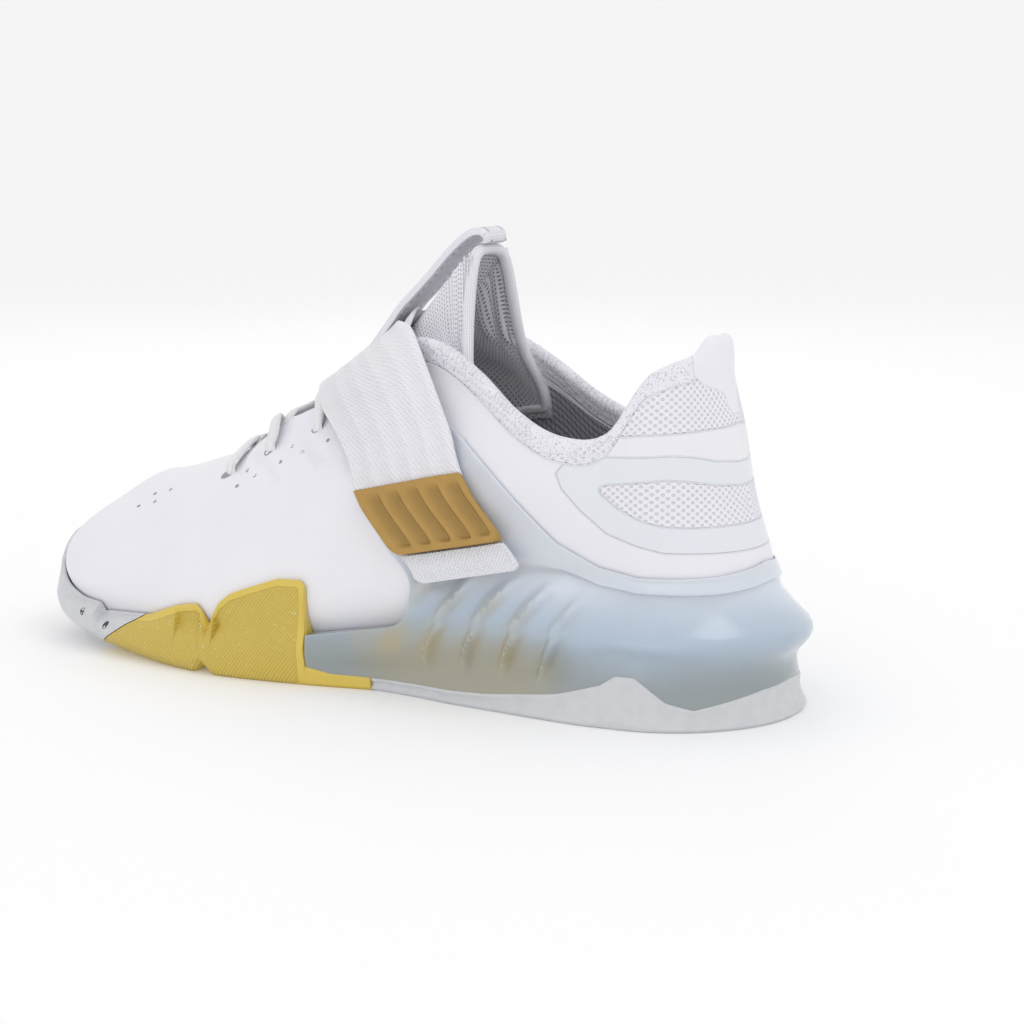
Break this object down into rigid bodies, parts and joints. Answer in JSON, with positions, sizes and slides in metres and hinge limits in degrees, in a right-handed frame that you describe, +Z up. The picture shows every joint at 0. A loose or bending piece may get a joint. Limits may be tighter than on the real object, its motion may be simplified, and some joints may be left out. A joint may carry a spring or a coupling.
{
  "type": "weightlifting shoe",
  "caption": "Left weightlifting shoe with a raised firm heel, grooved forefoot tread, laced tongue and an instep strap that holds the foot down over the sole.",
  "frame": {"origin": "on the floor under the middle of the heel tread", "axes": "+X towards the toe, +Y to the outer (lateral) side of this left shoe, +Z up"},
  "size_m": [0.2981, 0.1085, 0.1533],
  "materials": {
    "upper": "smooth white coated synthetic with a knit collar edge",
    "insole": "light grey textile over foam",
    "midsole": "translucent icy blue moulded TPU",
    "grey_rubber": "pale grey-green moulded rubber",
    "mustard_rubber": "mustard rubber with a fine diagonal texture",
    "tongue_mesh": "white padded mesh",
    "webbing": "white woven webbing with fine diagonal lines",
    "laces": "white woven flat lace",
    "gold_plastic": "satin gold moulded plastic",
    "strap_tip": "white hook-and-loop tape"
  },
  "bodies": {
    "root": {"upper": "upper", "insole": "insole", "midsole": "midsole", "outsole_heel": "grey_rubber", "outsole_forefoot": "mustard_rubber", "outsole_toe": "grey_rubber", "tongue": "tongue_mesh", "tongue_pull_tab": "webbing", "laces": "laces", "strap": "webbing", "strap_end": "gold_plastic", "strap_tip": "strap_tip", "strap_ring": "gold_plastic"}
  },
  "joints": []
}
